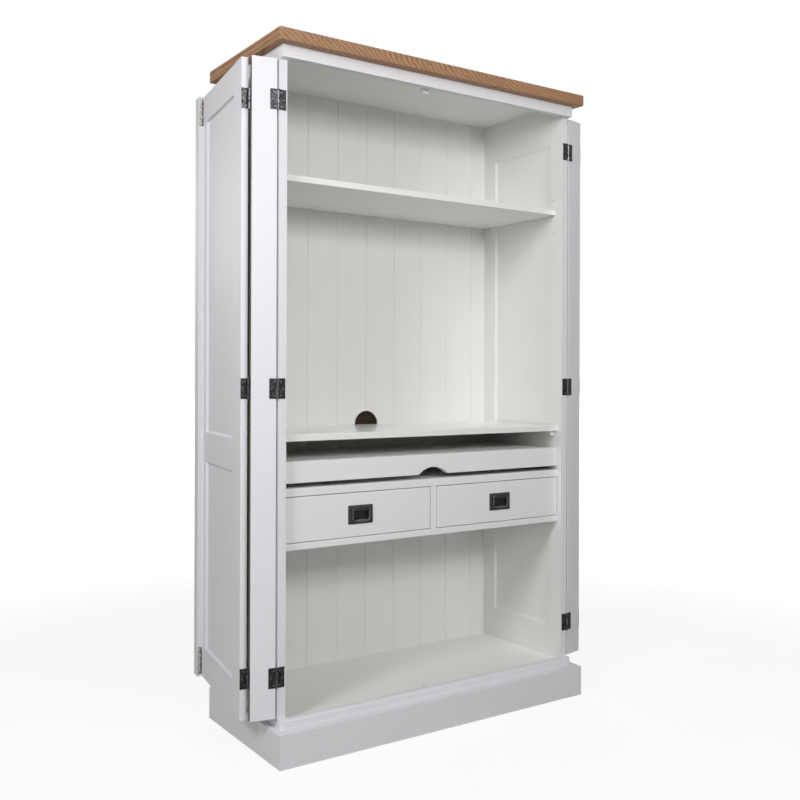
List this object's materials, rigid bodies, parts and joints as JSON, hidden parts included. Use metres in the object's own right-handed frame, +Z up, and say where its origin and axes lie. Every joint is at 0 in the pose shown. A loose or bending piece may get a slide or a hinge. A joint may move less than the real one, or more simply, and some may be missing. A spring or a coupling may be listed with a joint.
{
  "type": "computer armoire",
  "caption": "Tall painted computer armoire with an oak top, bi-fold panelled doors, shelves, a pull-out keyboard tray, paired drawers with bail pulls and an open lower bay on a plinth.",
  "frame": {"origin": "on the floor under the middle of the plinth, on the underside of the centre bearer", "axes": "+Z up, -Y out of the open front, +X to the right of someone who faces the front"},
  "size_m": [1.2676, 0.5575, 2],
  "materials": {
    "case_paint": "satin white paint",
    "inside_paint": "satin off-white paint",
    "oak": "oiled oak with open grain",
    "drawer_wood": "painted boards",
    "raw_wood": "bare softwood",
    "hinge_iron": "blackened steel",
    "pull_iron": "black lacquered metal",
    "bolt_nickel": "satin nickel plate",
    "runner_steel": "zinc-plated steel",
    "pin_steel": "plated steel",
    "nylon": "white nylon"
  },
  "bodies": {
    "case": {"oak_top": "oak", "ceiling_panel": "inside_paint", "frieze": "case_paint", "left_side_frame": "case_paint", "right_side_frame": "case_paint", "side_panels": "case_paint", "side_beads": "case_paint", "back_panel": "inside_paint", "floor_panel": "inside_paint", "base_rail": "case_paint", "plinth_boards": "case_paint", "plinth_bearer": "raw_wood", "plinth_blocks": "raw_wood", "upper_shelf": "inside_paint", "shelf_pins": "pin_steel", "desk_shelf": "inside_paint", "shelf_blocks": "nylon", "drawer_rails": "case_paint", "drawer_case_boards": "inside_paint", "drawer_divider": "inside_paint", "case_runners": "runner_steel", "runner_glides": "nylon", "case_hinges": "hinge_iron", "bolt_keeps": "nylon"},
    "left_fold_strip": {"left_stile": "case_paint", "left_stile_hinges": "hinge_iron"},
    "left_door_leaf": {"left_leaf_frame": "case_paint", "left_leaf_panels": "case_paint", "left_leaf_beads": "case_paint", "left_leaf_hinges": "hinge_iron", "left_door_pull": "pull_iron", "meeting_batten": "case_paint", "bolt_plates": "bolt_nickel"},
    "left_door_handle": {"left_door_bail": "pull_iron"},
    "upper_bolt": {"top_bolt": "bolt_nickel"},
    "lower_bolt": {"bottom_bolt": "bolt_nickel"},
    "right_fold_strip": {"right_stile": "case_paint", "right_stile_hinges": "hinge_iron"},
    "right_door_leaf": {"right_leaf_frame": "case_paint", "right_leaf_panels": "case_paint", "right_leaf_beads": "case_paint", "right_leaf_hinges": "hinge_iron", "right_door_pull": "pull_iron"},
    "right_door_handle": {"right_door_bail": "pull_iron"},
    "left_drawer": {"left_drawer_front": "case_paint", "left_drawer_box": "drawer_wood", "left_drawer_bottom": "drawer_wood", "left_drawer_runners": "runner_steel", "left_drawer_pull": "pull_iron"},
    "left_drawer_handle": {"left_drawer_bail": "pull_iron"},
    "right_drawer": {"right_drawer_front": "case_paint", "right_drawer_box": "drawer_wood", "right_drawer_bottom": "drawer_wood", "right_drawer_runners": "runner_steel", "right_drawer_pull": "pull_iron"},
    "right_drawer_handle": {"right_drawer_bail": "pull_iron"},
    "keyboard_tray": {"tray_board": "inside_paint", "tray_apron": "case_paint", "tray_runners": "runner_steel"}
  },
  "joints": [
    {"name": "left_strip_hinge", "type": "hinge", "parent": "case", "child": "left_fold_strip", "pos_m": [-0.5432, -0.18825, 1.025], "axis": [0, 0, 1], "range_deg": [-1, 192.4]},
    {"name": "left_leaf_hinge", "type": "hinge", "parent": "left_fold_strip", "child": "left_door_leaf", "pos_m": [-0.61185, -0.14914, 1.025], "axis": [0, 0, 1], "range_deg": [-0.5, 86.4]},
    {"name": "right_strip_hinge", "type": "hinge", "parent": "case", "child": "right_fold_strip", "pos_m": [0.5432, -0.18825, 1.025], "axis": [0, 0, -1], "range_deg": [-1, 192.4]},
    {"name": "right_leaf_hinge", "type": "hinge", "parent": "right_fold_strip", "child": "right_door_leaf", "pos_m": [0.61185, -0.14914, 1.025], "axis": [0, 0, -1], "range_deg": [-0.5, 86.4]},
    {"name": "left_door_handle_swing", "type": "hinge", "parent": "left_door_leaf", "child": "left_door_handle", "pos_m": [-0.54412, 0.27271, 1.027], "axis": [0.153, 0.9882, 0], "range_deg": [-90, 0]},
    {"name": "right_door_handle_swing", "type": "hinge", "parent": "right_door_leaf", "child": "right_door_handle", "pos_m": [0.54412, 0.27271, 1.027], "axis": [0.153, -0.9882, 0], "range_deg": [-90, 0]},
    {"name": "upper_bolt_slide", "type": "slide", "parent": "left_door_leaf", "child": "upper_bolt", "axis": [0, 0, 1], "range_m": [0, 0.014]},
    {"name": "lower_bolt_slide", "type": "slide", "parent": "left_door_leaf", "child": "lower_bolt", "axis": [0, 0, -1], "range_m": [0, 0.014]},
    {"name": "left_drawer_slide", "type": "slide", "parent": "case", "child": "left_drawer", "axis": [0, 1, 0], "range_m": [-0.29, 0]},
    {"name": "right_drawer_slide", "type": "slide", "parent": "case", "child": "right_drawer", "axis": [0, 1, 0], "range_m": [-0.29, 0]},
    {"name": "left_drawer_handle_swing", "type": "hinge", "parent": "left_drawer", "child": "left_drawer_handle", "pos_m": [-0.2635, -0.1736, 0.674], "axis": [1, 0, 0], "range_deg": [-90, 0]},
    {"name": "right_drawer_handle_swing", "type": "hinge", "parent": "right_drawer", "child": "right_drawer_handle", "pos_m": [0.2635, -0.1736, 0.674], "axis": [1, 0, 0], "range_deg": [-90, 0]},
    {"name": "keyboard_tray_slide", "type": "slide", "parent": "case", "child": "keyboard_tray", "axis": [0, 1, 0], "range_m": [-0.29, 0]}
  ]
}
